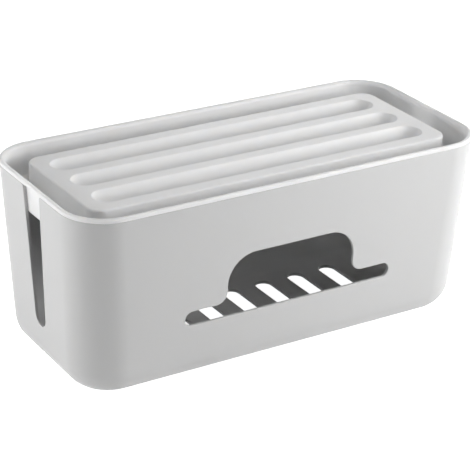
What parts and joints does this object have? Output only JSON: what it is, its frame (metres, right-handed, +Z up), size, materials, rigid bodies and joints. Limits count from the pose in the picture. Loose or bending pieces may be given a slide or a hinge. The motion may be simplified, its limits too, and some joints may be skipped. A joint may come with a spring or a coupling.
{
  "type": "cable management box",
  "caption": "Long drafted plastic box that hides a power strip, with a stepped front cable opening, open end slots and a lift-off lid with a finger moat and phone grooves.",
  "frame": {"origin": "centre of the footprint on the desk, under the rubber feet", "axes": "+X along the box to the right, +Y to the back, the wide cable opening faces -Y, +Z up"},
  "size_m": [0.31, 0.14, 0.1325],
  "materials": {
    "tub_plastic": "satin white",
    "lid_plastic": "satin white",
    "foot_rubber": "soft matt"
  },
  "bodies": {
    "tub": {"tub": "tub_plastic", "foot_front_left": "foot_rubber", "foot_front_right": "foot_rubber", "foot_back_left": "foot_rubber", "foot_back_right": "foot_rubber"},
    "lid": {"lid": "lid_plastic"}
  },
  "joints": [
    {"name": "lid_lift", "type": "slide", "parent": "tub", "child": "lid", "axis": [0, 0, 1], "range_m": [0, 0.04]}
  ]
}
